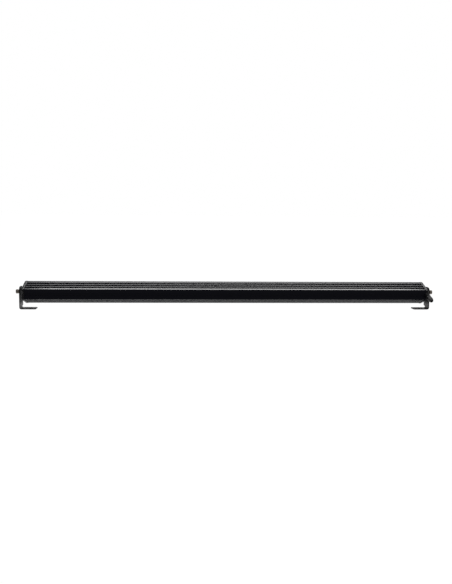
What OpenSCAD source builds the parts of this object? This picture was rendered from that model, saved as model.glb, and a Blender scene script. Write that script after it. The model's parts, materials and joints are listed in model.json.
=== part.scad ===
// Single-row LED light bar on two tilting end brackets. Millimetres.
// X runs along the bar, +Y is the way the light goes and +Z is up. The origin is at mid length,
// on the surface that the feet stand on, straight below the pivot bolts.

/* [Housing] */
// Length of the extruded housing
housing_l = 1256; // [1200:4:1300]
// Height of the flat rear face
rear_h = 31; // [30:0.5:33]
// Depth of the sloped, grooved sides
slope_d = 60; // [59:0.5:62]
// Angle of the sloped sides
slope_a = 17.5; // [17:0.25:18]
// Depth of the front rim ahead of the slopes
rim_d = 6; // [6:0.5:7]
// Height of the housing's middle plane above the feet
mid_z = 48.5; // [47.5:0.5:50]
// Width of each cooling groove
groove_w = 7.5; // [6:0.25:8]
// Depth of each cooling groove
groove_d = 7; // [4:0.25:7]
// Width of the first rib, behind the first groove
lip_w = 10; // [9.5:0.25:10.5]
// Spacing of the grooves along the slope
groove_pitch = 15.5; // [15.25:0.25:15.75]
// Width of the shallow channel along the rear face
channel_w = 9; // [6:0.5:12]
// Depth of that channel
channel_d = 1.3; // [0.8:0.1:1.8]

/* [Light] */
// Number of reflector modules, each with its own circuit board
modules = 4;
// Lamps in each module
lamps = 7;
// Radius of each reflector cup at its mouth
cup_r = 21.2; // [19:0.1:21.2]
// Thickness of the front lens
lens_t = 2.8; // [2.4:0.1:3]

/* [End caps] */
// Thickness of an end cap
cap_t = 9; // [9:0.5:11]
// How far a cap stands proud of the housing's outline
cap_proud = 0.8; // [0.4:0.1:1.2]
// Radius on the corners of a cap's outline
cap_r = 3.5; // [2.5:0.25:4]
// Radius that rounds a cap's outer edges over
cap_edge = 5.5; // [4:0.25:6]
// Radius of the round boss that the bracket turns on
boss_r = 14; // [12:0.5:15]
// Height of that boss
boss_t = 4; // [3:0.5:5]

/* [Brackets] */
// Height of the pivot above the surface under the feet
pivot_z = 54; // [53:0.5:56]
// Thickness of the bracket plate
plate_t = 3; // [2.5:0.5:4]
// Width of a bracket's foot
bracket_w = 32; // [30:1:34]
// How far an arm reaches forward of its foot
arm_fwd = 12; // [4:1:14]
// Length of a foot, from the outside of the arm
foot_l = 50; // [48:1:60]
// Outside radius of the bend
bend_r = 6; // [5:0.5:8]
// Radius on the foot's free corners
foot_corner_r = 4; // [2:0.5:8]
// Distance from the outside of the arm to the middle of the slot
slot_in = 28; // [27:0.5:32]
// Width of the slot, for an M8 bolt
slot_w = 9; // [8.5:0.25:9.5]
// Overall length of the slot
slot_l = 20; // [16:1:24]

/* [Cable gland] */
// Angle of the gland below level
gland_down = 28; // [20:1:35]
// Angle of the gland away from the bar's middle
gland_out = 12; // [6:1:12]
// Distance across the flats of the gland's hexagon
gland_af = 14; // [13:0.5:14]
// Radius of the cable that the seal grips
cable_r = 3; // [2.5:0.25:3.25]

/* [Hidden] */
$fn = 64;
eps = 0.01;

// Housing section, as depths from the rear face and heights from the middle plane
rear_y = -slope_d / 2;
rear_half = rear_h / 2;
front_half = rear_half + slope_d * tan(slope_a);
total_d = slope_d + rim_d;
housing_x = housing_l / 2;
grooves = 3;
wall = 3.5;
driver_d = 24;         // depth at which the driver space ends
driver_half = 10;
driver_board_half = driver_half - 1.6;
web_d = 30;            // depth of the web's front face, where the boards lie
shelf_d = total_d - 8.5;
slot_back_d = total_d - 7;
slot_front_d = total_d - 2.2;
slot_half = front_half - 3.5;
mouth_half = slot_half - 3.8;
lens_gap = 1;          // thickness of the seal's walls
port_r = 2;            // screw ports for the end caps
ports = [[6, rear_half - 2.5], [total_d - 12, front_half - 5.95]];

// Light
cell = (housing_l - 8) / (modules * lamps);
module_l = cell * lamps;
cup_wall = 1;
cup_base_d = 32.4;
board_t = 1.6;
board_half = 11;
board_l = module_l - 2;
board_d = web_d + board_t;
lamp_w = 5;
lamp_t = 0.8;
m3_r = 1.5;
feed_x = module_l;     // middle of the gap between two lamps, over the driver
driver_l = 480;
driver_x = feed_x + 28;

// Ends
gasket_t = 1;
cap_x = housing_x + gasket_t;
face_x = cap_x + cap_t;
boss_x = face_x + boss_t;
screw_sink = 4;        // depth of the recess round an end screw's head
spacer_t = 0.8;
arm_x = boss_x + 1;            // inner face of the bracket arm
arm_out_x = arm_x + plate_t;
bolt_r = 4;
pivot_play = 0.08;
insert_r = 6;
insert_l = 9;
washer_gap = 0.1;
washer_t = 1.6;
washer_x = arm_out_x + washer_gap;
spring_t = 2.2;
spring_x = washer_x + washer_t;
head_x = spring_x + spring_t;
head_l = 8;
head_r = 6.5;

// Gland, measured along its own axis from the rear face
gland_x = cap_x + cap_t / 2 - 0.5;
gland_z = mid_z - 1;
gland_boss_r = 7.8;
gland_seat = 8;
gland_stub_r = 5;
gland_ring_t = 1.4;
gland_hex = gland_seat + gland_ring_t;
gland_hex_t = 5;
gland_barrel = gland_hex + gland_hex_t;
gland_barrel_l = 9.6;
gland_nut_l = 17;
gland_bore_r = cable_r + 0.6;
seal_l = 12;
seal_lip = 1;           // length of the thin lip at each end of the seal

vent_z = mid_z + 6;
vent_r = 4.2;

housing_black = [0.06, 0.06, 0.065];
cap_black = [0.09, 0.09, 0.095];
bracket_black = [0.13, 0.13, 0.135];
rubber = [0.03, 0.03, 0.03];
steel = [0.62, 0.59, 0.55];
brass = [0.75, 0.6, 0.3];

// Unit vector
function unit(v) = v / norm(v);

// Points of the arc of radius r that rounds the corner b between a and c
function fillet(a, b, c, r, n = 4) =
    let (u = unit(a - b), v = unit(c - b), half = acos(u * v) / 2)
    let (centre = b + unit(u + v) * r / sin(half))
    let (p = b + u * r / tan(half) - centre, q = b + v * r / tan(half) - centre)
    let (start = atan2(p[1], p[0]), sweep = atan2(p[0] * q[1] - p[1] * q[0], p * q))
    [for (i = [0:n]) centre + r * [cos(start + sweep * i / n), sin(start + sweep * i / n)]];

// Outline of [y, z, radius] corners with each corner rounded
function rounded(c) =
    let (n = len(c), p = [for (k = c) [k[0], k[1]]])
    [for (i = [0:n - 1]) each c[i][2] > 0
        ? fillet(p[(i + n - 1) % n], p[i], p[(i + 1) % n], c[i][2]) : [p[i]]];

// Upper half of an outline, followed by its mirror image below the middle plane
function both_halves(upper) =
    concat(upper, [for (i = [len(upper) - 1:-1:0]) [upper[i][0], -upper[i][1], upper[i][2]]]);

// Depth and height of a point s along the slope and d below its surface
function on_slope(s, d) = [
    s * cos(slope_a) + d * sin(slope_a),
    rear_half + s * sin(slope_a) - d * cos(slope_a)
];

// Four corners of groove number i
function groove(i) =
    let (s0 = lip_w + i * groove_pitch, s1 = s0 + groove_w)
    [for (k = [[s0, 0, 1.2], [s0, groove_d, 1], [s1, groove_d, 1], [s1, 0, 1.2]])
        concat(on_slope(k[0], k[1]), [k[2]])];

// Extrudes a section of depths and heights along X, centred on mid length
module along_bar(length) {
    translate([0, rear_y, mid_z])
        rotate([90, 0, 90])
            linear_extrude(length, center = true) children();
}

// Mirrors the right-hand end for side -1
module at_side(side) {
    if (side > 0) children();
    else mirror([1, 0, 0]) children();
}

// Turns +Z to +X and moves to a place on the pivot line
module on_pivot(x) {
    translate([x, 0, pivot_z]) rotate([0, 90, 0]) children();
}

// Cylinder along +Y that starts at a depth behind the front
module bore_y(x, depth, height, r, length) {
    translate([x, rear_y + depth, mid_z + height]) rotate([-90, 0, 0]) cylinder(r = r, h = length);
}

module housing_outline() {
    upper = concat(
        [[channel_d, channel_w / 2, 0.4], [0, channel_w / 2, 0.5], [0, rear_half, 2.5]],
        [for (i = [0:grooves - 1]) each groove(i)],
        [[slope_d, front_half, 1], [total_d, front_half, 2]]
    );
    polygon(rounded(both_halves(upper)));
}

module driver_space() {
    polygon(rounded(both_halves([[wall, driver_half, 1.5], [driver_d, driver_half, 1.5]])));
}

module front_space() {
    upper = [
        [web_d, 14, 1], [web_d + 5, 14, 1], [41, rear_half + 3.5, 2], [49, rear_half + 5.8, 1],
        [50.5, mouth_half - 2, 0], [shelf_d, mouth_half - 2, 0], [shelf_d, mouth_half + 1, 0],
        [slot_back_d, mouth_half + 1, 0], [slot_back_d, slot_half, 0], [slot_front_d, slot_half, 0],
        [slot_front_d, mouth_half, 0.6], [total_d + 1, mouth_half, 0]
    ];
    polygon(rounded(both_halves(upper)));
}

// Places children at the four end-screw ports of the section
module at_ports() {
    for (p = ports) {
        for (s = [-1, 1]) translate([p[0], s * p[1]]) children();
    }
}

module housing() color(housing_black) difference() {
    along_bar(housing_l) difference() {
        housing_outline();
        driver_space();
        front_space();
        at_ports() circle(port_r);
    }
    for (x = board_screw_x()) bore_y(x, web_d - 5, 0, m3_r, 6);
    for (x = driver_screw_x()) bore_y(x, driver_d - 1, -6, m3_r, 4);
    bore_y(feed_x, driver_d - 1, 0, 3.5, 8);
}

// Places of the screws that hold the boards: between lamps, two to a module
function board_screw_x() = [
    for (m = [0:modules - 1]) for (k = [1, lamps - 2]) module_x(m) + (k + 0.5 - lamps / 2 + 0.5) * cell
];

// Middle of module m
function module_x(m) = (m - (modules - 1) / 2) * module_l;

// Middle of lamp i in module m
function lamp_x(m, i) = module_x(m) + (i - (lamps - 1) / 2) * cell;

module lens() color([0.85, 0.9, 0.95, 0.5])
    translate([-housing_x + 0.5, rear_y + slot_back_d + lens_gap, mid_z - slot_half + lens_gap])
        cube([housing_l - 1, lens_t, 2 * (slot_half - lens_gap)]);

// Channel of rubber that the lens edge sits in
module lens_seal(side) color(rubber)
    along_bar(housing_l - 1) {
        depth = slot_front_d - slot_back_d;
        edge = slot_half - lens_gap;
        difference() {
            translate([slot_back_d, side > 0 ? mouth_half : -slot_half])
                square([depth, slot_half - mouth_half]);
            translate([slot_back_d + lens_gap, -edge]) square([lens_t, 2 * edge]);
        }
    }

// Radius of the parabolic cup at a depth, with the lamp at its focus
function cup_radius(depth) = cup_r * sqrt((depth - web_d - 1.6) / (shelf_d + 1.5 - web_d - 1.6));

module cup() {
    steps = 9;
    mouth_d = shelf_d + 1.5;
    depths = [for (i = [0:steps]) cup_base_d + (mouth_d - cup_base_d) * pow(i / steps, 1.6)];
    inner = [for (d = depths) [cup_radius(d), d]];
    outer = [for (i = [steps:-1:0]) [cup_radius(depths[i]) + cup_wall, depths[i]]];
    rotate_extrude() polygon(concat(inner, outer));
}

module reflector(m) color([0.85, 0.86, 0.88]) {
    plate_half = mouth_half + 0.6;
    difference() {
        translate([module_x(m) - module_l / 2 + 0.1, rear_y + shelf_d, mid_z - plate_half])
            cube([module_l - 0.2, 1.5, 2 * plate_half]);
        for (i = [0:lamps - 1]) bore_y(lamp_x(m, i), shelf_d - 1, 0, cup_r + cup_wall / 2, 4);
    }
    for (i = [0:lamps - 1])
        translate([lamp_x(m, i), rear_y, mid_z]) rotate([-90, 0, 0]) cup();
}

module led_board(m) color([0.92, 0.92, 0.9]) difference() {
    translate([module_x(m) - board_l / 2, rear_y + web_d, mid_z - board_half])
        cube([board_l, board_t, 2 * board_half]);
    for (x = board_screw_x()) bore_y(x, web_d - 1, 0, m3_r + 0.1, 4);
    bore_y(feed_x, web_d - 1, 0, 3.6, 4);
}

module led_emitters(m) color([0.95, 0.85, 0.35])
    for (i = [0:lamps - 1]) translate([lamp_x(m, i), rear_y + board_d, mid_z]) {
        translate([-lamp_w / 2, 0, -lamp_w / 2]) cube([lamp_w, lamp_t, lamp_w]);
        intersection() {
            translate([0, lamp_t - 0.4, 0]) sphere(r = 2);
            translate([-3, 0.2, -3]) cube([6, 4, 6]);
        }
    }

// Pan-head screw that points along +Z with its head below zero
module pan_screw(r, length, head, head_t) {
    cylinder(r = r, h = length);
    difference() {
        translate([0, 0, -head_t]) cylinder(r = head, h = head_t);
        translate([0, 0, -head_t - eps]) cylinder(r = head * 0.45, h = head_t / 2, $fn = 6);
    }
}

module board_screws() color(steel)
    for (x = board_screw_x()) translate([x, rear_y + board_d, mid_z])
        rotate([90, 0, 0]) pan_screw(m3_r - 0.1, 6, 2.8, 1.6);

// Links between neighbouring boards
module board_jumpers() color([0.9, 0.9, 0.88])
    for (m = [0:modules - 2]) {
        for (s = [-1, 1]) translate([module_x(m) + module_l / 2 - 6, rear_y + board_d, mid_z + s * 6 - 1.5])
            cube([12, 2, 3]);
    }

module feed_bush() color([0.95, 0.95, 0.95]) difference() {
    bore_y(feed_x, driver_d + 0.2, 0, 3.4, web_d + board_t - driver_d);
    for (s = [-1, 1]) bore_y(feed_x, driver_d - 1, s * 1.5, 0.7, 12);
}

module feed_pins() color(brass)
    for (s = [-1, 1]) bore_y(feed_x, driver_d - board_t - 2, s * 1.5, 0.6, 12.5);

// Places of the screws that hold the driver board
function driver_screw_x() = [for (k = [-0.47, -0.21, 0.21, 0.47]) driver_x + k * driver_l];

module driver_board() color([0.1, 0.35, 0.2]) difference() {
    translate([driver_x - driver_l / 2, rear_y + driver_d - board_t, mid_z - driver_board_half])
        cube([driver_l, board_t, 2 * driver_board_half]);
    for (x = driver_screw_x()) bore_y(x, driver_d - 3, -6, m3_r + 0.1, 4);
    for (s = [-1, 1]) bore_y(feed_x, driver_d - 3, s * 1.5, 0.7, 4);
}

// Part number i of a row of n on the driver board, standing off it to the rear
module on_driver(i, n, shift, height) {
    x = driver_x + ((i + 0.5) / n - 0.5) * driver_l * 0.86 + shift;
    translate([x, rear_y + driver_d - board_t, mid_z + height]) rotate([90, 0, 0]) children();
}

module driver_inductors() color([0.25, 0.25, 0.27])
    for (i = [0:modules - 1]) on_driver(i, modules, 34, 0) {
        cylinder(r = 7.5, h = 3);
        cylinder(r = 6, h = 11);
        translate([0, 0, 9]) cylinder(r = 7.5, h = 2.5);
    }

module driver_capacitors() color([0.15, 0.2, 0.4])
    for (i = [0:modules - 1]) {
        for (s = [-1, 1]) on_driver(i, modules, -16 + s * 6, 2) cylinder(r = 5, h = 14);
    }

module driver_chips() color([0.1, 0.1, 0.1])
    for (i = [0:modules - 1]) on_driver(i, modules, 8, 2)
        translate([-4, -3, 0]) cube([8, 6, 1.6]);

module supply_terminal() color([0.1, 0.4, 0.2])
    translate([driver_x + driver_l / 2 - 26, rear_y + driver_d - board_t - 10, mid_z - 2])
        difference() {
            cube([12, 10, 9]);
            for (x = [3.5, 8.5]) translate([x, 4, 4.5]) rotate([90, 0, 0]) cylinder(r = 1.8, h = 6);
            for (x = [3.5, 8.5]) translate([x, 6, 4.5]) cylinder(r = 1.6, h = 6);
        }

module driver_screws() color(steel)
    for (x = driver_screw_x()) translate([x, rear_y + driver_d - board_t, mid_z - 6])
        rotate([-90, 0, 0]) pan_screw(m3_r - 0.1, 4.4, 2.6, 1.6);

module end_gasket(side) color(rubber) at_side(side)
    translate([housing_x + gasket_t / 2, 0, 0]) along_bar(gasket_t) difference() {
        polygon(rounded(both_halves([[0.8, rear_half - 0.6, 2], [slope_d, front_half - 0.8, 1],
            [total_d - 0.8, front_half - 0.8, 2]])));
        driver_space();
        gasket_window();
        at_ports() circle(port_r + 0.2);
    }

// Opening of a gasket over the front space
module gasket_window()
    polygon(rounded(both_halves([[web_d, 13, 2], [shelf_d - 2, mouth_half - 4, 2]])));

// Corners of a cap's outline, moved in by a radius
function cap_corners(r) = both_halves([
    [r - cap_proud, rear_half + cap_proud - 0.6 - 0.74 * r, 0],
    [slope_d, front_half + cap_proud - r, 0],
    [total_d + cap_proud - r, front_half + cap_proud - r, 0]
]);

// Puts a ball, or a short post with no edge radius, at each corner of the cap
module at_cap_corners(r)
    for (c = cap_corners(r)) translate([cap_x, rear_y + c[0], mid_z + c[1]]) rotate([0, 90, 0]) children();

// Plate with a small radius on its outline and a larger one on its outer edges
module cap_shell() hull() {
    at_cap_corners(cap_r) cylinder(r = cap_r, h = cap_t - cap_edge, $fn = 32);
    at_cap_corners(cap_edge) intersection() {
        translate([0, 0, cap_t - cap_edge]) sphere(r = cap_edge, $fn = 32);
        cylinder(r = cap_edge, h = cap_t, $fn = 32);
    }
}

// Tongue that keys a cap into the driver space
module cap_tongue()
    translate([cap_x - 5, rear_y + wall + 0.5, mid_z - driver_half + 0.5])
        cube([5 + eps, driver_d - wall - 5, 2 * driver_half - 1]);

// End cap common to both sides, without the cable or vent hole
module cap_body() difference() {
    union() {
        cap_shell();
        on_pivot(face_x - 2) cylinder(r = boss_r, h = boss_t + 2);
        cap_tongue();
    }
    on_pivot(boss_x - insert_l) cylinder(r = insert_r, h = insert_l + 1);
    for (p = ports) {
        for (s = [-1, 1]) translate([0, rear_y + p[0], mid_z + s * p[1]]) rotate([0, 90, 0]) {
            translate([0, 0, cap_x - 1]) cylinder(r = port_r + 0.2, h = cap_t + 2);
            translate([0, 0, face_x - screw_sink]) cylinder(r = 4, h = screw_sink + 1);
        }
    }
}

module end_cap_left() color(cap_black) mirror([1, 0, 0]) difference() {
    cap_body();
    translate([cap_x + cap_t / 2, rear_y - 2, vent_z]) rotate([-90, 0, 0]) cylinder(r = 2.6, h = 8);
    translate([cap_x - 6, rear_y + wall + 2, vent_z - 3]) cube([8, 6, 6]);
}

// Moves to the gland's axis, with +Z pointing out along it
module on_gland(distance) {
    translate([gland_x, rear_y, gland_z])
        rotate([0, 90 + gland_down, gland_out - 90])
            translate([0, 0, distance]) children();
}

module end_cap_right() color(cap_black) difference() {
    union() {
        cap_body();
        difference() {
            on_gland(-6) cylinder(r = gland_boss_r, h = gland_seat + 6);
            translate([gland_x - 20, rear_y - 0.3, gland_z - 30]) cube([40, 30, 60]);
        }
    }
    on_gland(gland_seat - 5.5) cylinder(r = gland_stub_r + 0.1, h = 8);
    on_gland(-12) cylinder(r = gland_bore_r, h = 16);
    translate([cap_x - 6, rear_y + wall + 2, mid_z - 4]) cube([8, 10, 12]);
}

module end_screws(side) color(steel) at_side(side)
    for (p = ports) {
        for (s = [-1, 1]) translate([face_x - screw_sink, rear_y + p[0], mid_z + s * p[1]])
            rotate([0, -90, 0]) pan_screw(port_r - 0.1, 18, 3.6, 2.4);
    }

module thread_insert(side) color(brass) at_side(side)
    on_pivot(boss_x - insert_l) difference() {
        cylinder(r = insert_r, h = insert_l);
        translate([0, 0, 1]) cylinder(r = bolt_r + 0.05, h = insert_l);
    }

module pivot_spacer(side) color([0.2, 0.2, 0.2]) at_side(side)
    on_pivot(boss_x) difference() {
        cylinder(r = boss_r - 1, h = spacer_t);
        translate([0, 0, -1]) cylinder(r = bolt_r + 0.25, h = 3);
    }

// Arm seen from its end, in Y and Z: rear edge at the back of the foot, shoulder ahead of it
function arm_outline() =
    let (half = bracket_w / 2, front = half + arm_fwd, top = pivot_z + half, corner = half - 1)
    rounded([
        [-half, bend_r, 0], [half, bend_r, 0], [front, bend_r + 3, 0],
        [front, top, corner], [-half, top, corner]
    ]);

// Foot outline in plan, from the bend inwards
module foot_plan() {
    inner = arm_out_x - foot_l;
    half = bracket_w / 2;
    difference() {
        polygon(rounded([[arm_out_x - bend_r, -half, 0], [arm_out_x - bend_r, half, 0],
            [inner, half, foot_corner_r], [inner, -half, foot_corner_r]]));
        translate([arm_out_x - slot_in, 0]) {
            square([slot_l - slot_w, slot_w], center = true);
            for (s = [-1, 1]) translate([s * (slot_l - slot_w) / 2, 0]) circle(d = slot_w);
        }
    }
}

module bracket(side) color(bracket_black) at_side(side) {
    linear_extrude(plate_t) foot_plan();
    // Bend between foot and arm
    translate([arm_out_x - bend_r, bracket_w / 2, bend_r]) rotate([90, 0, 0])
        linear_extrude(bracket_w) difference() {
            intersection() {
                circle(bend_r);
                translate([0, -bend_r]) square(bend_r);
            }
            circle(bend_r - plate_t);
        }
    // Arm with its round top corners and pivot hole
    difference() {
        translate([arm_x, 0, 0]) rotate([90, 0, 90]) linear_extrude(plate_t) polygon(arm_outline());
        on_pivot(arm_x - 1) cylinder(r = bolt_r + pivot_play, h = plate_t + 2);
    }
}

module flat_washer(side) color(steel) at_side(side)
    on_pivot(washer_x) difference() {
        cylinder(r = 9.5, h = washer_t);
        translate([0, 0, -1]) cylinder(r = bolt_r + 0.25, h = 4);
    }

// Split spring washer
module spring_washer(side) color(steel) at_side(side)
    on_pivot(spring_x) difference() {
        cylinder(r = 6.2, h = spring_t);
        translate([0, 0, -1]) cylinder(r = bolt_r + 0.15, h = 5);
        rotate([0, 0, 70]) translate([0, -0.6, -1]) cube([8, 1.2, 5]);
    }

module pivot_bolt(side) color(steel) at_side(side) {
    on_pivot(boss_x - insert_l + 2) cylinder(r = bolt_r, h = head_x - boss_x + insert_l - 1);
    on_pivot(head_x) difference() {
        cylinder(r = head_r, h = head_l);
        translate([0, 0, head_l - 4]) cylinder(r = 3.46, h = 5, $fn = 6);
    }
}

module breather_vent() color([0.2, 0.2, 0.2])
    translate([-cap_x - cap_t / 2, rear_y - cap_proud, vent_z]) rotate([-90, 0, 0]) {
        translate([0, 0, -2.4]) difference() {
            cylinder(r = vent_r, h = 1.6);
            for (a = [0:60:300]) rotate([0, 0, a]) translate([2.6, 0, -1]) cylinder(r = 0.6, h = 1.8);
        }
        translate([0, 0, -1]) cylinder(r = 2.5, h = 6);
    }

module vent_o_ring() color(rubber)
    translate([-cap_x - cap_t / 2, rear_y - cap_proud - 0.4, vent_z]) rotate([-90, 0, 0])
        rotate_extrude() translate([3.1, 0]) circle(0.4, $fn = 24);

module gland_body() color(cap_black) difference() {
    union() {
        on_gland(gland_seat - 5) cylinder(r = gland_stub_r, h = 5 + gland_ring_t + 1);
        on_gland(gland_hex) cylinder(r = gland_af / 2 / cos(30), h = gland_hex_t, $fn = 6);
        on_gland(gland_barrel - 1) cylinder(r = 5.5, h = gland_barrel_l + 1);
    }
    on_gland(0) cylinder(r = gland_bore_r, h = 40);
    on_gland(gland_barrel + 1) cylinder(r = 4.6, h = 20);
}

module gland_o_ring() color(rubber)
    on_gland(gland_seat + gland_ring_t / 2)
        rotate_extrude() translate([gland_stub_r + 0.9, 0]) circle(gland_ring_t / 2, $fn = 24);

// Rubber sleeve that the nut squeezes on to the cable, with a lip at each end
module gland_seal() color(rubber)
    on_gland(gland_barrel + 1.2) difference() {
        union() {
            cylinder(r = 4.5, h = seal_l);
            translate([0, 0, -seal_lip]) cylinder(r = cable_r + 0.4, h = seal_l + 2 * seal_lip);
        }
        translate([0, 0, -seal_lip - 1]) cylinder(r = cable_r, h = seal_l + 2 * seal_lip + 2);
    }

// Hexagonal nut with a domed end
module gland_nut() color(cap_black) difference() {
    on_gland(gland_barrel + 0.6) {
        hex_l = 9.5;
        dome_r = gland_af / 2 - 0.1;
        dome_l = gland_nut_l - hex_l;
        cylinder(r = gland_af / 2 / cos(30), h = hex_l, $fn = 6);
        rotate_extrude() polygon(concat(
            [[0, 0], [dome_r, 0], [dome_r, hex_l]],
            [for (a = [15:15:90]) [dome_r - 3 * (1 - cos(a)), hex_l + dome_l * sin(a)]],
            [[0, gland_nut_l]]
        ));
    }
    on_gland(0) cylinder(r = cable_r + 0.5, h = 60);
    on_gland(0) cylinder(r = 5.6, h = gland_barrel + gland_barrel_l + 0.4);
    on_gland(0) cylinder(r = 4.6, h = gland_barrel + 13.6);
}

housing();
lens();
lens_seal(1);  // lens_seal_upper
lens_seal(-1);  // lens_seal_lower
reflector(0);  // reflector_1
reflector(1);  // reflector_2
reflector(2);  // reflector_3
reflector(3);  // reflector_4
led_board(0);  // led_board_1
led_board(1);  // led_board_2
led_board(2);  // led_board_3
led_board(3);  // led_board_4
led_emitters(0);  // led_emitters_1
led_emitters(1);  // led_emitters_2
led_emitters(2);  // led_emitters_3
led_emitters(3);  // led_emitters_4
board_screws();
board_jumpers();
feed_bush();
feed_pins();
driver_board();
driver_inductors();
driver_capacitors();
driver_chips();
supply_terminal();
driver_screws();
end_gasket(-1);  // end_gasket_left
end_gasket(1);  // end_gasket_right
end_cap_left();
end_cap_right();
end_screws(-1);  // end_screws_left
end_screws(1);  // end_screws_right
thread_insert(-1);  // thread_insert_left
thread_insert(1);  // thread_insert_right
pivot_spacer(-1);  // pivot_spacer_left
pivot_spacer(1);  // pivot_spacer_right
bracket(-1);  // bracket_left
bracket(1);  // bracket_right
flat_washer(-1);  // flat_washer_left
flat_washer(1);  // flat_washer_right
spring_washer(-1);  // spring_washer_left
spring_washer(1);  // spring_washer_right
pivot_bolt(-1);  // pivot_bolt_left
pivot_bolt(1);  // pivot_bolt_right
breather_vent();
vent_o_ring();
gland_body();
gland_o_ring();
gland_seal();
gland_nut();
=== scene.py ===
import json
import math

import bmesh
import bpy
from mathutils import Euler, Matrix, Vector

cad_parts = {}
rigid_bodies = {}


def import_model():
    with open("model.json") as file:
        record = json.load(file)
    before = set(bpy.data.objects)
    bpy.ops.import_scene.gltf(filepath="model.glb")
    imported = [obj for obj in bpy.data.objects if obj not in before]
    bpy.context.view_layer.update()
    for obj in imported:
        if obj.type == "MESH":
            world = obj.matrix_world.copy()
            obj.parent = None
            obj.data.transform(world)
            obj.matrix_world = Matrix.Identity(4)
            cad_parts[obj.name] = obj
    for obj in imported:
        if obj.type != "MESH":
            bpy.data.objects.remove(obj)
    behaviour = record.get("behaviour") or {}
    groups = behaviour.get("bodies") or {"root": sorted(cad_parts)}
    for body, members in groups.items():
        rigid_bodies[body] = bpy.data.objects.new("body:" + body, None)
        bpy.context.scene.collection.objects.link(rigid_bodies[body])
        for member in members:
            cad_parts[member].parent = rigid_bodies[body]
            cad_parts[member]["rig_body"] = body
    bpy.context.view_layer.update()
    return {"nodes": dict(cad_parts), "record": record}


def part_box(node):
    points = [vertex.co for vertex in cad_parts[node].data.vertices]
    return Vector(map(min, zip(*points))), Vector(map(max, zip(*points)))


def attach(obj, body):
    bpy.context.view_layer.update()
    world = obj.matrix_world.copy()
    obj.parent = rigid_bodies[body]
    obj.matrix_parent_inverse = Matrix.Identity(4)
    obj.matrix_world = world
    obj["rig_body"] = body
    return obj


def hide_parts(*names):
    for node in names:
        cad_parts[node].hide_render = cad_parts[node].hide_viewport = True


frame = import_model()

# Camera: behind the bar, a little above it and left of its middle
CAMERA_DISTANCE = 2.177  # from the rear face
CAMERA_SIDE = -0.1602  # X
CAMERA_HEIGHT = 0.3342
CAMERA_AIM = (-0.0087, 0.0572)  # X and Z of the point it looks at, in the plane of the rear face
CAMERA_ROLL = 0.6213  # degrees
LENS_MM = 43.52
SENSOR_MM = 36.0

# Studio: radiances, and where along Y the floor goes from one to the next
REAR_GLOW = 0.6  # of the floor behind the bar
UNDER_GLOW = 1.3  # of the floor under the bar
AHEAD_GLOW = 0.85  # of the floor ahead of the bar
UNDER_RAMP = (-0.06, 0.04)
AHEAD_RAMP = (0.15, 0.35)
WORLD_GLOW = 0.32  # of the surroundings
HORIZON_GLOW = 0.9  # added to them low down ahead of the bar
FLOOR_HALF = 15.0
FLOOR_DROP = 0.0002  # keeps the floor clear of the feet's undersides

# Frame reference: planes and axes that the pieces are placed from
HOUSING_LO, HOUSING_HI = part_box("housing")
REAR_Y = HOUSING_LO.y
MID_Z = (HOUSING_LO.z + HOUSING_HI.z) / 2
LIP_DEPTH = 0.0102  # from the rear face to the first cooling groove
MODULES = 4
LAMPS = 7  # in each module
CUP_RADIUS = 0.0212  # of a reflector cup at its mouth
CUP_WALL = 0.001
PLATE = 0.0015  # thickness of the plate between the cups
GLAND_PLACE = (0.633, REAR_Y, 0.0475)  # where the cable gland's axis meets the cap
GLAND_TURN = (0.0, math.radians(118), math.radians(-78))  # turns +Z back, down and outwards
MERGE_DISTANCE = 2e-6  # closer points are one point

# Pivot bolts and cable gland, in millimetres
SCREW_THREAD = 8.0
SCREW_PITCH = 1.25
SCREW_HEAD = 8.0
SCREW_HEAD_ACROSS = 13.0
SCREW_SOCKET = 6.0  # across its flats
GLAND_FLATS = 14.0


# ---------------------------------------------------------------- materials

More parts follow.
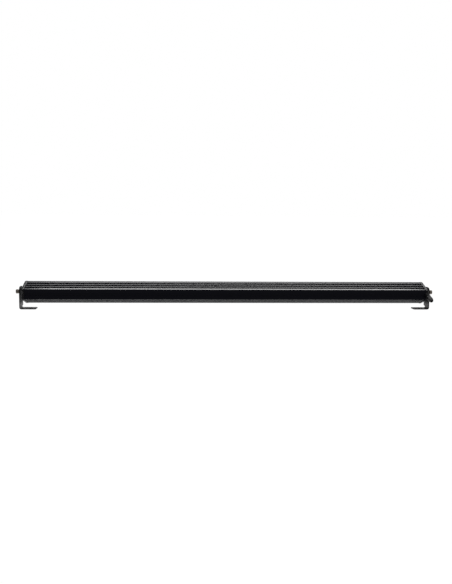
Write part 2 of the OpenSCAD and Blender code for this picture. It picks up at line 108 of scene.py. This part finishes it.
class Surface:
    """A procedural material, built node by node round one Principled shader.

    The colour and roughness given are its plain ones, which stand where no node drives them.
    """

    def __init__(self, name, colour, roughness, metallic=0.0, specular=0.5):
        self.material = bpy.data.materials.new(name)
        self.material.use_nodes = True
        self.tree = self.material.node_tree
        self.shader = self.tree.nodes["Principled BSDF"]
        self.set("Base Color", (*colour, 1.0))
        self.set("Roughness", roughness)
        self.set("Metallic", metallic)
        self.set("Specular IOR Level", specular)
        self.place = self.tree.nodes.new("ShaderNodeTexCoord").outputs["Object"]

    def set(self, socket, value):
        self.shader.inputs[socket].default_value = value

    def node(self, kind, **settings):
        made = self.tree.nodes.new(kind)
        for key, value in settings.items():
            setattr(made, key, value)
        return made

    def stretched(self, stretch):
        """Object coordinates scaled along each axis."""
        mapping = self.node("ShaderNodeMapping")
        mapping.inputs["Scale"].default_value = stretch
        self.tree.links.new(self.place, mapping.inputs["Vector"])
        return mapping.outputs["Vector"]

    def noise(self, scale, detail=3.0, stretch=(1, 1, 1)):
        made = self.node("ShaderNodeTexNoise")
        for key, value in (("Scale", scale), ("Detail", detail), ("Roughness", 0.55)):
            made.inputs[key].default_value = value
        self.tree.links.new(self.stretched(stretch), made.inputs["Vector"])
        return made.outputs["Fac"]

    def coordinate(self, axis):
        """Object coordinate along one axis."""
        made = self.node("ShaderNodeSeparateXYZ")
        self.tree.links.new(self.place, made.inputs["Vector"])
        return made.outputs[axis]

    def ranged(self, source, low, high, out_low=0.0, out_high=1.0):
        """Maps low to out_low and high to out_high, and holds them beyond."""
        made = self.node("ShaderNodeMapRange")
        for key, value in (("From Min", low), ("From Max", high), ("To Min", out_low), ("To Max", out_high)):
            made.inputs[key].default_value = value
        self.tree.links.new(source, made.inputs["Value"])
        return made.outputs["Result"]

    def combine(self, operation, a, b):
        made = self.node("ShaderNodeMath", operation=operation)
        for index, value in enumerate((a, b)):
            if isinstance(value, (int, float)):
                made.inputs[index].default_value = value
            else:
                self.tree.links.new(value, made.inputs[index])
        return made.outputs["Value"]

    def blend_colour(self, factor, first, second):
        made = self.node("ShaderNodeMix", data_type="RGBA")
        self.tree.links.new(factor, made.inputs["Factor"])
        for name, value in (("A", first), ("B", second)):
            socket = [s for s in made.inputs if s.name == name and s.type == "RGBA"][0]
            if isinstance(value, tuple):
                socket.default_value = (*value, 1.0)
            else:
                self.tree.links.new(value, socket)
        return [s for s in made.outputs if s.type == "RGBA"][0]

    def drive(self, socket, source):
        self.tree.links.new(source, self.shader.inputs[socket])

    def vary_colour(self, factor, first, second):
        self.drive("Base Color", self.blend_colour(factor, first, second))

    def vary_roughness(self, source, smoothest, roughest, low=0.3, high=0.7):
        self.drive("Roughness", self.ranged(source, low, high, smoothest, roughest))

    def bump(self, height, distance, strength):
        made = self.node("ShaderNodeBump")
        made.inputs["Distance"].default_value = distance
        made.inputs["Strength"].default_value = strength
        self.tree.links.new(height, made.inputs["Height"])
        self.drive("Normal", made.outputs["Normal"])

    def edge_mask(self, radius):
        """1 on edges, where the coat is thinner and catches wear, 0 on flat faces."""
        bevel = self.node("ShaderNodeBevel", samples=4)
        bevel.inputs["Radius"].default_value = radius
        geometry = self.node("ShaderNodeNewGeometry")
        dot = self.node("ShaderNodeVectorMath", operation="DOT_PRODUCT")
        self.tree.links.new(bevel.outputs["Normal"], dot.inputs[0])
        self.tree.links.new(geometry.outputs["Normal"], dot.inputs[1])
        return self.ranged(dot.outputs["Value"], 0.97, 0.80)


def powder_coat(name, colour, worn, roughness, grain, stretch=(1, 1, 1), specular=0.06, edges=None,
                burnished=None):
    """Black powder coat: orange peel, faint dust, rubbed patches and, with edges, wear along them.

    Burnished is the depth Y up to which cloths have polished its upper half, and how much smoother that is.
    """
    s = Surface(name, colour, roughness, specular=specular)
    cloud = s.noise(14.0, 4.0, stretch)
    peel = s.noise(grain, 2.0, stretch)
    tint = s.blend_colour(s.ranged(cloud, 0.35, 0.75), colour, worn)
    if edges:
        patchy = s.ranged(s.noise(120.0, 4.0), 0.45, 0.7, 0.1, 1.0)
        tint = s.blend_colour(s.combine("MULTIPLY", s.edge_mask(radius=0.0006), patchy), tint, edges)
    s.drive("Base Color", tint)
    rough = s.ranged(s.combine("ADD", cloud, peel), 0.6, 1.4, roughness - 0.06, roughness + 0.08)
    if burnished:
        limit, smoother = burnished
        outer = s.ranged(s.coordinate("Y"), limit - 0.0003, limit, smoother, 0.0)
        upper = s.ranged(s.coordinate("Z"), MID_Z, MID_Z + 0.01)
        rough = s.combine("SUBTRACT", rough, s.combine("MULTIPLY", outer, upper))
    s.drive("Roughness", rough)
    s.bump(peel, distance=0.00012, strength=0.35)
    return s.material


def rubber(name):
    """Soft black rubber, slightly mottled."""
    s = Surface(name, (0.012, 0.012, 0.012), 0.7, specular=0.3)
    mottled = s.noise(300.0)
    s.vary_colour(s.ranged(mottled, 0.3, 0.7), (0.009, 0.009, 0.009), (0.022, 0.021, 0.02))
    s.vary_roughness(mottled, 0.6, 0.85)
    s.bump(mottled, distance=0.0001, strength=0.4)
    return s.material


def stainless(name):
    """Turned stainless steel with a warm cast."""
    s = Surface(name, (0.42, 0.38, 0.34), 0.32, metallic=1.0)
    turned = s.noise(900.0, 2.0, (1.0, 0.15, 0.15))
    cloud = s.noise(90.0)
    s.vary_colour(cloud, (0.10, 0.085, 0.07), (0.19, 0.165, 0.14))
    s.vary_roughness(turned, 0.24, 0.42)
    s.bump(turned, distance=0.00005, strength=0.3)
    return s.material


def metallised(name):
    """Bright metal film on moulded plastic, with a faint haze."""
    s = Surface(name, (0.9, 0.9, 0.91), 0.07, metallic=1.0)
    haze = s.noise(40.0, 4.0)
    s.vary_roughness(haze, 0.04, 0.16, high=0.75)
    s.vary_colour(haze, (0.86, 0.86, 0.87), (0.74, 0.75, 0.77))
    return s.material


def clear_lens(name):
    """Polycarbonate with the faintest of wipe marks."""
    s = Surface(name, (0.97, 0.985, 0.99), 0.02)
    s.set("Transmission Weight", 1.0)
    s.set("IOR", 1.5)
    wipes = s.noise(60.0, 5.0, (0.2, 1.0, 1.0))
    s.vary_roughness(wipes, 0.01, 0.07, low=0.45, high=0.8)
    return s.material


def moulded(name, colour, roughness=0.45, specular=0.35, texture=0.5):
    """Moulded plastic with a fine spark-eroded texture."""
    s = Surface(name, colour, roughness, specular=specular)
    grain = s.noise(1500.0, 2.0)
    cloud = s.noise(60.0)
    lighter = tuple(min(1.0, c * 1.35 + 0.004) for c in colour)
    s.vary_colour(cloud, colour, lighter)
    s.vary_roughness(grain, roughness - 0.08, roughness + 0.12)
    s.bump(grain, distance=0.00006, strength=texture)
    return s.material


def circuit(name, colour, trace):
    """Solder resist with tracks showing through."""
    s = Surface(name, colour, 0.35)
    tracks = s.node("ShaderNodeTexWave", wave_type="BANDS", bands_direction="Z", wave_profile="SAW")
    tracks.inputs["Scale"].default_value = 90.0
    tracks.inputs["Distortion"].default_value = 1.5
    s.tree.links.new(s.place, tracks.inputs["Vector"])
    mask = s.ranged(tracks.outputs["Fac"], 0.78, 0.84)
    s.vary_colour(mask, colour, trace)
    s.vary_roughness(s.noise(200.0), 0.28, 0.45)
    s.bump(mask, distance=0.00004, strength=0.5)
    return s.material


def plain_metal(name, light, dark, roughness):
    """Bare metal with darker, tarnished patches."""
    s = Surface(name, light, roughness, metallic=1.0)
    cloud = s.noise(250.0, 4.0)
    s.vary_colour(cloud, dark, light)
    s.vary_roughness(cloud, roughness - 0.08, roughness + 0.1)
    s.bump(cloud, distance=0.00004, strength=0.3)
    return s.material


def phosphor(name):
    """Yellow phosphor grains in clear silicone."""
    s = Surface(name, (0.9, 0.72, 0.12), 0.3)
    grain = s.noise(4000.0, 2.0)
    s.vary_colour(grain, (0.82, 0.62, 0.08), (0.95, 0.82, 0.25))
    s.vary_roughness(grain, 0.15, 0.35)
    return s.material


ALONG = (0.06, 1.0, 1.0)  # draws a texture out along the extrusion
SLOTS = {part["node"]: part["material_slot"] for part in frame["record"]["subparts"]}
MATERIALS = {
    "housing_coat": powder_coat(
        "housing_coat", (0.0030, 0.0031, 0.0060), (0.0042, 0.0043, 0.0075), 0.40, 900.0, ALONG,
        burnished=(REAR_Y + LIP_DEPTH, 0.20)),
    "cap_coat": powder_coat(
        "cap_coat", (0.004, 0.004, 0.005), (0.007, 0.007, 0.008), 0.34, 1100.0, specular=0.14,
        edges=(0.014, 0.014, 0.015)),
    "bracket_coat": powder_coat(
        "bracket_coat", (0.006, 0.006, 0.007), (0.012, 0.012, 0.013), 0.36, 1000.0, specular=0.1,
        edges=(0.024, 0.024, 0.025)),
    "clear_lens": clear_lens("clear_lens"),
    "black_rubber": rubber("black_rubber"),
    "metallised_plastic": metallised("metallised_plastic"),
    "circuit_white": circuit("circuit_white", (0.8, 0.8, 0.78), (0.72, 0.68, 0.55)),
    "led_phosphor": phosphor("led_phosphor"),
    "circuit_green": circuit("circuit_green", (0.02, 0.13, 0.06), (0.05, 0.22, 0.11)),
    "component_black": moulded("component_black", (0.03, 0.03, 0.033)),
    "component_blue": moulded("component_blue", (0.03, 0.05, 0.22), 0.3),
    "white_plastic": moulded("white_plastic", (0.75, 0.75, 0.72)),
    "brass": plain_metal("brass", (0.8, 0.6, 0.3), (0.62, 0.44, 0.2), 0.3),
    "black_nylon": moulded("black_nylon", (0.005, 0.005, 0.006), 0.28, specular=0.5, texture=0.08),
    "stainless_steel": stainless("stainless_steel"),
}


def dress(obj, slot):
    """Gives an object the material of a slot, in place of what it had."""
    obj.data.materials.clear()
    obj.data.materials.append(MATERIALS[slot])


# ---------------------------------------------------------------- pieces

def link(obj):
    bpy.context.scene.collection.objects.link(obj)
    return obj


def object_from(bm, name):
    """Turns a bmesh into a linked object of the same name."""
    mesh = bpy.data.meshes.new(name)
    bm.to_mesh(mesh)
    bm.free()
    return link(bpy.data.objects.new(name, mesh))


def with_modifiers(obj):
    """Applies an object's modifiers to its mesh."""
    done = bpy.data.meshes.new_from_object(obj.evaluated_get(bpy.context.evaluated_depsgraph_get()))
    obj.modifiers.clear()
    obj.data = done
    return obj


def smooth(mesh, angle):
    """Smooth shading, with sharp edges where faces meet at more than an angle in degrees."""
    mesh.shade_smooth()
    mesh.set_sharp_from_angle(angle=math.radians(angle))


def round_edges(obj, width):
    """Rounds the sharp edges and keeps flat faces flat in the shading."""
    bevel = obj.modifiers.new("edges", "BEVEL")
    bevel.width = width
    bevel.segments = 2
    bevel.limit_method = "ANGLE"
    bevel.angle_limit = math.radians(38.0)
    with_modifiers(obj)
    smooth(obj.data, 50.0)
    obj.modifiers.new("normals", "WEIGHTED_NORMAL").keep_sharp = True
    return with_modifiers(obj)


def mount(obj, node):
    """Puts a finished piece on its node's body, in the node's place."""
    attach(obj, frame["nodes"][node]["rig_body"])
    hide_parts(node)
    return obj


def clean_copy(node):
    """The CAD node's shape as whole faces, without its triangles."""
    bm = bmesh.new()
    bm.from_mesh(frame["nodes"][node].data)
    bmesh.ops.remove_doubles(bm, verts=bm.verts, dist=MERGE_DISTANCE)
    bmesh.ops.dissolve_limit(bm, angle_limit=math.radians(0.3), verts=bm.verts, edges=bm.edges)
    return object_from(bm, node + "_finished")


def finish_edges(node, radius):
    """Makes a CAD node again with the rounded edges that the real piece has."""
    obj = clean_copy(node)
    dress(obj, SLOTS[node])
    round_edges(obj, radius)
    return mount(obj, node)


EDGES = {  # how a node's name starts: the radius of its edges in metres
    "housing": 0.0003, "end_cap": 0.0005, "bracket": 0.0005, "flat_washer": 0.0003, "spring_washer": 0.0003,
    "thread_insert": 0.0002, "pivot_spacer": 0.0002, "end_screws": 0.0004, "end_gasket": 0.00015,
    "breather_vent": 0.0002, "gland_seal": 0.0002, "lens": 0.0003,
    "led_board": 0.0002, "board_screws": 0.0003, "board_jumpers": 0.0003, "feed_bush": 0.0003,
    "feed_pins": 0.0001, "driver_board": 0.0002, "driver_screws": 0.0003, "driver_chips": 0.0003,
    "supply_terminal": 0.0004,
}


def skin(bm, rings, close=False):
    """Adds a skin over rings of points, each joined to the next, and with close the last to the first."""
    loops = [[bm.verts.new(point) for point in ring] for ring in rings]
    for a, b in zip(loops, loops[1:] + (loops[:1] if close else [])):
        for i in range(len(a)):
            j = (i + 1) % len(a)
            bm.faces.new((a[i], a[j], b[j], b[i]))
    return loops


def add_turned(bm, sections, segments, place, ring=False):
    """Adds a shape with sections along +Z: (distance, radius) in millimetres.

    A radius may be a function of the angle. A ring's last section is joined to its first, and any other
    shape is closed at both ends.
    """
    rings = []
    for distance, radius in sections:
        points = []
        for i in range(segments):
            angle = 2 * math.pi * i / segments
            r = radius(angle) if callable(radius) else radius
            points.append(place @ (Vector((r * math.cos(angle), r * math.sin(angle), distance)) / 1000))
        rings.append(points)
    loops = skin(bm, rings, close=ring)
    if not ring:
        bm.faces.new(loops[0][::-1])
        bm.faces.new(loops[-1])


def finished_piece(bm, node, suffix, smooth_angle, slot=None):
    """The piece that stands for a node, from its bmesh."""
    bmesh.ops.recalc_face_normals(bm, faces=bm.faces)
    obj = object_from(bm, node + suffix)
    smooth(obj.data, smooth_angle)
    dress(obj, slot or SLOTS[node])
    return mount(obj, node)


def turned(node, suffix, shapes, segments, ring=False):
    """The turned piece that stands for a node: one shape for each pair of sections and place."""
    bm = bmesh.new()
    for sections, place in shapes:
        add_turned(bm, sections, segments, place, ring)
    return finished_piece(bm, node, suffix, 33.0)


def hexagon(across_flats, limit=math.inf):
    """Radius of a hexagon with a corner at angle 0, turned down to a limit."""
    sixth = math.pi / 3
    return lambda angle: min(across_flats / 2 / math.cos(angle % sixth - sixth / 2), limit)


def knurl(crest, depth, ridges):
    """Radius of straight knurling with pointed ridges, two points to a ridge."""
    return lambda angle: crest - depth * (round(angle * ridges / math.pi) % 2)


def flutes(radius, depth, count):
    """Radius with shallow round hollows."""
    return lambda angle: radius - depth * max(0.0, math.cos(count * angle)) ** 2


def thread(start, end, crest, root, pitch, steps=6):
    """Sections of a screw thread that runs out over its first and last half turn, with steps to a turn."""
    sections = []
    count = round((end - start) / pitch * steps)
    for k in range(count + 1):
        s = start + (end - start) * k / count
        height = min(1.0, 2 * (s - start) / pitch, 2 * (end - s) / pitch)

        def radius(angle, s=s, height=height):
            wave = abs(2 * ((s / pitch - angle / (2 * math.pi)) % 1.0) - 1)
            return root + (crest - root) * height * min(1.0, max(0.0, 1.4 * wave - 0.2))
        sections.append((s, radius))
    return sections


def cap_screw(node, side):
    """Stainless cap screw: thread, knurled head with a chamfer, and a hexagon socket.

    Side is 1 for a head that faces +X and -1 for one that faces -X.
    """
    lo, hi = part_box(node)
    tip, top = sorted((abs(lo.x) * 1000, abs(hi.x) * 1000))
    seat = top - SCREW_HEAD
    crest = SCREW_THREAD / 2
    root = crest - 0.6
    rim = SCREW_HEAD_ACROSS / 2
    ridges = knurl(rim, 0.22, 36)
    wide, narrow = hexagon(SCREW_SOCKET), hexagon(SCREW_SOCKET - 0.4)
    sections = [(tip, root - 0.4), (tip + 0.5, root)]
    sections += thread(tip + 0.6, seat - 4.0, crest, root, SCREW_PITCH)
    sections += [(seat - 3.6, crest), (seat - 0.2, crest), (seat, crest + 0.2)]
    sections += [(seat, rim - 0.4), (seat + 0.35, rim - 0.1), (seat + 0.9, rim)]
    sections += [(seat + 1.1, ridges), (top - 1.3, ridges)]
    sections += [(top - 1.0, rim - 0.1), (top - 0.45, rim - 0.35), (top - 0.12, rim - 0.75), (top, rim - 1.2)]
    sections += [(top, 3.75), (top - 0.35, wide), (top - 4.0, wide), (top - 4.3, narrow), (top - 4.7, 0.4)]
    turn = Matrix.Rotation(side * math.pi / 2, 4, "Y")
    place = Matrix.Translation((0, (lo.y + hi.y) / 2, (lo.z + hi.z) / 2)) @ turn
    return turned(node, "_screw", [(sections, place)], 72)


def gland():
    """Cable gland, as rings: body with its hexagon and threaded barrel, and a nut with a fluted dome."""
    whole, chamfered, faced = hexagon(GLAND_FLATS), hexagon(GLAND_FLATS, 7.8), hexagon(GLAND_FLATS, 7.2)
    body = [(3.0, 4.7), (3.4, 5.0), (9.4, 5.0)]
    body += [(9.4, faced), (10.0, chamfered), (10.4, whole), (13.4, whole), (13.8, chamfered), (14.4, faced)]
    body += [(14.4, 5.1), (14.6, 5.0)]
    body += thread(14.6, 23.6, crest=5.5, root=5.0, pitch=1.5)
    body += [(24.0, 4.8), (24.0, 4.6), (15.4, 4.6), (15.4, 3.6), (3.0, 3.6)]
    nut = [(15.0, faced), (15.5, chamfered), (15.9, whole), (23.5, whole), (23.9, chamfered)]
    nut += [(24.5, hexagon(GLAND_FLATS, 7.1)), (24.6, 6.85)]
    dome_steps = 12
    for k in range(1, dome_steps):
        angle = math.pi / 2 * k / dome_steps
        fluted = flutes(3.9 + 3.0 * math.cos(angle), 0.28 * math.sin(2 * angle), count=12)
        nut.append((24.5 + 7.5 * math.sin(angle), fluted))
    nut += [(32.0, 3.95), (32.0, 3.75), (31.8, 3.5), (28.0, 3.5), (28.0, 4.6), (24.4, 4.6)]
    nut += [(24.4, 5.6), (15.4, 5.6), (15.0, 5.9)]
    place = Matrix.Translation(GLAND_PLACE) @ Euler(GLAND_TURN, "XYZ").to_matrix().to_4x4()
    turned("gland_body", "_turned", [(body, place)], 96, ring=True)
    turned("gland_nut", "_turned", [(nut, place)], 96, ring=True)


def capacitor(length, radius=5.0):
    """Electrolytic can in its sleeve: rounded shoulders, a rolled groove and a recessed top."""
    groove = radius - 0.45
    foot = [(0.0, radius - 0.6), (0.25, radius - 0.2), (0.7, radius)]
    rolled = [(1.5, radius), (1.9, groove), (2.3, groove), (2.7, radius)]
    top = [(length - 0.7, radius), (length - 0.25, radius - 0.15), (length, radius - 0.5),
           (length, radius - 0.9), (length - 0.3, radius - 1.0)]
    return foot + rolled + top


def inductor(length, radius=7.5, core=5.6, turns=8):
    """Drum core with a winding between its flanges."""
    edge = radius - 0.3
    start, end = 3.0, length - 2.5
    per_turn = 6
    steps = turns * per_turn
    sections = [(0.0, edge), (0.3, radius), (start - 0.3, radius), (start, edge), (start, core)]
    for k in range(1, steps + 1):
        wire = 0.4 * abs(math.sin(math.pi * k / per_turn))
        sections.append((start + (end - start) * k / steps, core + wire))
    sections += [(end, edge), (end + 0.3, radius), (length - 0.3, radius), (length, edge)]
    return sections + [(length, 3.2), (length - 0.8, 3.0)]


def driver_row(node, suffix, shape, across, offsets):
    """Turned parts along the driver board, standing off it to the rear: one at each offset in each module."""
    lo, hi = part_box(node)
    first = lo.x + across / 2
    pitch = (hi.x - across / 2 - offsets[-1] - first) / (MODULES - 1)
    turn = Matrix.Rotation(math.pi / 2, 4, "X")
    places = [Matrix.Translation((first + i * pitch + offset, hi.y, (lo.z + hi.z) / 2)) @ turn
              for i in range(MODULES) for offset in offsets]
    sections = shape((hi.y - lo.y) * 1000)
    return turned(node, suffix, [(sections, place) for place in places], 48)


def cell_edge(centre, half_w, half_h, angles):
    """X and Z of points round a lamp's share of the plate, at its cup's angles, with the corners met."""
    points = []
    for angle in angles:
        x, z = math.cos(angle), math.sin(angle)
        scale = min(half_w / max(abs(x), 1e-9), half_h / max(abs(z), 1e-9))
        points.append([x * scale, z * scale])
    for sx in (-1, 1):
        for sz in (-1, 1):
            corner = (sx * half_w, sz * half_h)
            nearest = min(points, key=lambda p: math.dist(p, corner))
            nearest[0], nearest[1] = corner
    return [(centre[0] + x, centre[1] + z) for x, z in points]


def cup_profile(front, throat):
    """Depth and radius from the rolled rim of a parabolic cup down its inside, and back up its outside."""
    back = front - PLATE
    focus = throat - 0.0008

    def radius(y):
        return CUP_RADIUS * math.sqrt((y - focus) / (front - focus))

    roll = [(front, CUP_RADIUS + 0.0005), (front - 0.00008, CUP_RADIUS + 0.00022),
            (front - 0.0003, CUP_RADIUS - 0.00004)]
    inside = [throat + (front - 0.0008 - throat) * (1 - k / 16) ** 2 for k in range(17)]
    outside = [throat + (back - throat) * (k / 10) ** 1.6 for k in range(11)]
    profile = roll + [(y, radius(y)) for y in inside] + [(y, radius(y) + CUP_WALL) for y in outside]
    return profile + [(back, radius(back) + 1.4 * CUP_WALL)]


def reflector(node, lamps_node, segments=64):
    """A plate with a row of metallised parabolic cups, whose rims roll over into it."""
    lo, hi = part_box(node)
    first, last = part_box(lamps_node)
    lamp = last.z - first.z
    pitch = (last.x - first.x - lamp) / (LAMPS - 1)
    angles = [2 * math.pi * (k + 0.5) / segments for k in range(segments)]
    bm = bmesh.new()
    for i in range(LAMPS):
        x = first.x + lamp / 2 + i * pitch
        edge = cell_edge((x, MID_Z), pitch / 2, (hi.z - lo.z) / 2, angles)
        edge = [(min(max(px, lo.x), hi.x), pz) for px, pz in edge]
        rings = [[(px, hi.y, pz) for px, pz in edge]]
        for y, r in cup_profile(hi.y, lo.y):
            rings.append([(x + r * math.cos(angle), y, MID_Z + r * math.sin(angle)) for angle in angles])
        rings.append([(px, hi.y - PLATE, pz) for px, pz in edge])
        skin(bm, rings)
    bmesh.ops.remove_doubles(bm, verts=bm.verts, dist=MERGE_DISTANCE)
    bmesh.ops.bridge_loops(bm, edges=[edge for edge in bm.edges if edge.is_boundary])
    return finished_piece(bm, node, "_moulded", 30.0)


def rounded_square(half, corner, y, per_corner=4):
    """Points of a square with round corners, in the plane of depth y."""
    points = []
    for k, (sx, sz) in enumerate(((1, 1), (-1, 1), (-1, -1), (1, -1))):
        for i in range(per_corner + 1):
            angle = math.pi / 2 * (k + i / per_corner)
            x = (half - corner) * sx + corner * math.cos(angle)
            z = (half - corner) * sz + corner * math.sin(angle)
            points.append((x, y, z))
    return points


def lamp_piece(node, suffix, slot, rings):
    """One piece on every lamp of a row, closed at both ends. Its rings are in millimetres, base first."""
    lo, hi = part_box(node)
    lamp = hi.z - lo.z
    pitch = (hi.x - lo.x - lamp) / (LAMPS - 1)
    bm = bmesh.new()
    for i in range(LAMPS):
        move = Vector((lo.x + lamp / 2 + i * pitch, lo.y, MID_Z))
        loops = skin(bm, [[Vector(point) / 1000 + move for point in ring] for ring in rings])
        bm.faces.new(loops[0])
        bm.faces.new(loops[-1])
    return finished_piece(bm, node, suffix, 40.0, slot)


def ceramic_base():
    """Base with a chamfered edge and a shallow well."""
    return [rounded_square(2.45, 0.3, 0.0), rounded_square(2.5, 0.35, 0.08), rounded_square(2.5, 0.35, 0.5),
            rounded_square(2.42, 0.32, 0.6), rounded_square(1.9, 0.3, 0.6), rounded_square(1.85, 0.3, 0.52)]


def phosphor_pad():
    """Pad that fills the well."""
    return [rounded_square(1.5, 0.2, 0.45), rounded_square(1.5, 0.2, 0.66), rounded_square(1.42, 0.2, 0.72)]


def silicone_dome(segments=32):
    """Clear dome on a low foot."""
    foot = 0.76
    profile = [(2.2, 0.5), (2.2, 0.68), (2.06, foot)]
    for degrees in range(8, 89, 10):
        angle = math.radians(degrees)
        profile.append((1.94 * math.cos(angle), foot + 1.62 * math.sin(angle)))
    angles = [2 * math.pi * k / segments for k in range(segments)]
    return [[(r * math.cos(angle), y, r * math.sin(angle)) for angle in angles] for r, y in profile]


def finish_nodes():
    """Every CAD node gets its material, and those named in EDGES their rounded edges."""
    for node, cad_object in frame["nodes"].items():
        dress(cad_object, SLOTS[node])
        for start, radius in EDGES.items():
            if node.startswith(start):
                finish_edges(node, radius)


def make_details():
    """The pieces whose detail the CAD leaves out."""
    cap_screw("pivot_bolt_left", -1)
    cap_screw("pivot_bolt_right", 1)
    gland()
    driver_row("driver_capacitors", "_cans", capacitor, 0.010, (0.0, 0.012))
    driver_row("driver_inductors", "_wound", inductor, 0.015, (0.0,))
    for number in range(1, MODULES + 1):
        lamps = f"led_emitters_{number}"
        reflector(f"reflector_{number}", lamps)
        lamp_piece(lamps, "_base", "white_plastic", ceramic_base())
        lamp_piece(lamps, "_pad", "led_phosphor", phosphor_pad())
        lamp_piece(lamps, "_dome", "clear_lens", silicone_dome())


# ---------------------------------------------------------------- studio

def look_at(obj, target, roll=0.0):
    turn = (Vector(target) - obj.location).to_track_quat("-Z", "Y").to_matrix()
    obj.rotation_euler = (turn @ Matrix.Rotation(math.radians(roll), 3, "Z")).to_euler()


def softbox(name, place, target, size, power):
    """A rectangular light that shows in reflections but not to the camera."""
    data = bpy.data.lights.new(name, "AREA")
    data.shape = "RECTANGLE"
    data.size, data.size_y = size
    data.energy = power
    obj = link(bpy.data.objects.new(name, data))
    obj.location = place
    look_at(obj, target)
    obj.visible_camera = False


def make_camera():
    data = bpy.data.cameras.new("camera")
    data.lens = LENS_MM
    data.sensor_width = SENSOR_MM
    data.clip_start = 0.05
    data.clip_end = 60.0
    obj = link(bpy.data.objects.new("camera", data))
    obj.location = (CAMERA_SIDE, REAR_Y - CAMERA_DISTANCE, CAMERA_HEIGHT)
    look_at(obj, (CAMERA_AIM[0], REAR_Y, CAMERA_AIM[1]), CAMERA_ROLL)
    bpy.context.scene.camera = obj


def make_floor():
    """Pale floor: white to the camera, and to everything else a light that is strongest under the bar."""
    mesh = bpy.data.meshes.new("floor")
    corners = [(x * FLOOR_HALF, y * FLOOR_HALF, 0) for x, y in ((-1, -1), (1, -1), (1, 1), (-1, 1))]
    mesh.from_pydata(corners, [], [(0, 1, 2, 3)])
    obj = link(bpy.data.objects.new("floor", mesh))
    obj.location.z = -FLOOR_DROP
    s = Surface("studio_floor", (0.02, 0.02, 0.02), 0.9, specular=0.0)
    s.set("Emission Color", (1.0, 1.0, 1.0, 1.0))
    depth = s.coordinate("Y")
    under = s.ranged(depth, *UNDER_RAMP, REAR_GLOW, UNDER_GLOW)
    ahead = s.ranged(depth, *AHEAD_RAMP, 0.0, UNDER_GLOW - AHEAD_GLOW)
    glow = s.combine("SUBTRACT", under, ahead)
    to_camera = s.node("ShaderNodeLightPath").outputs["Is Camera Ray"]
    seen = s.combine("MULTIPLY", to_camera, s.combine("SUBTRACT", 1.0, glow))
    s.drive("Emission Strength", s.combine("ADD", glow, seen))
    s.material.cycles.emission_sampling = "NONE"  # reflections find so large a light with less noise
    mesh.materials.append(s.material)


def make_world():
    """White to the camera, dimmer as a light, so that dark parts stay dark."""
    world = bpy.data.worlds.new("studio")
    world.use_nodes = True
    world.cycles.sampling_method = "NONE"  # as for the floor
    bpy.context.scene.world = world
    tree = world.node_tree
    seen = tree.nodes["Background"]
    lighting = tree.nodes.new("ShaderNodeBackground")
    for background in (seen, lighting):
        background.inputs["Color"].default_value = (1.0, 1.0, 1.0, 1.0)
    seen.inputs["Strength"].default_value = 1.0
    way = tree.nodes.new("ShaderNodeSeparateXYZ")
    tree.links.new(tree.nodes.new("ShaderNodeTexCoord").outputs["Generated"], way.inputs["Vector"])
    strength = tree.nodes.new("ShaderNodeMath")
    strength.operation = "MULTIPLY_ADD"
    strength.inputs[2].default_value = WORLD_GLOW
    ramps = (("Y", (0.2, 1.0, 0.0, 1.0)), ("Z", (0.0, 0.4, HORIZON_GLOW, 0.0)))
    for index, (axis, limits) in enumerate(ramps):
        ramp = tree.nodes.new("ShaderNodeMapRange")
        tree.links.new(way.outputs[axis], ramp.inputs["Value"])
        for key, value in zip(("From Min", "From Max", "To Min", "To Max"), limits):
            ramp.inputs[key].default_value = value
        tree.links.new(ramp.outputs["Result"], strength.inputs[index])
    tree.links.new(strength.outputs["Value"], lighting.inputs["Strength"])
    mix = tree.nodes.new("ShaderNodeMixShader")
    tree.links.new(tree.nodes.new("ShaderNodeLightPath").outputs["Is Camera Ray"], mix.inputs["Fac"])
    tree.links.new(lighting.outputs["Background"], mix.inputs[1])
    tree.links.new(seen.outputs["Background"], mix.inputs[2])
    tree.links.new(mix.outputs["Shader"], tree.nodes["World Output"].inputs["Surface"])


finish_nodes()
make_details()
make_camera()
make_floor()
make_world()
softbox("back_softbox", (0.18, 1.75, 1.65), target=(0.1, 0.0, 0.06), size=(2.5, 0.55), power=56.0)
softbox("top_softbox", (0.0, -0.3, 2.6), target=(0.0, 0.0, 0.0), size=(3.0, 1.6), power=30.0)
softbox("right_softbox", (1.9, -0.7, 1.3), target=(0.64, -0.04, 0.04), size=(0.45, 0.45), power=1.5)
bpy.context.scene.view_settings.view_transform = "Standard"
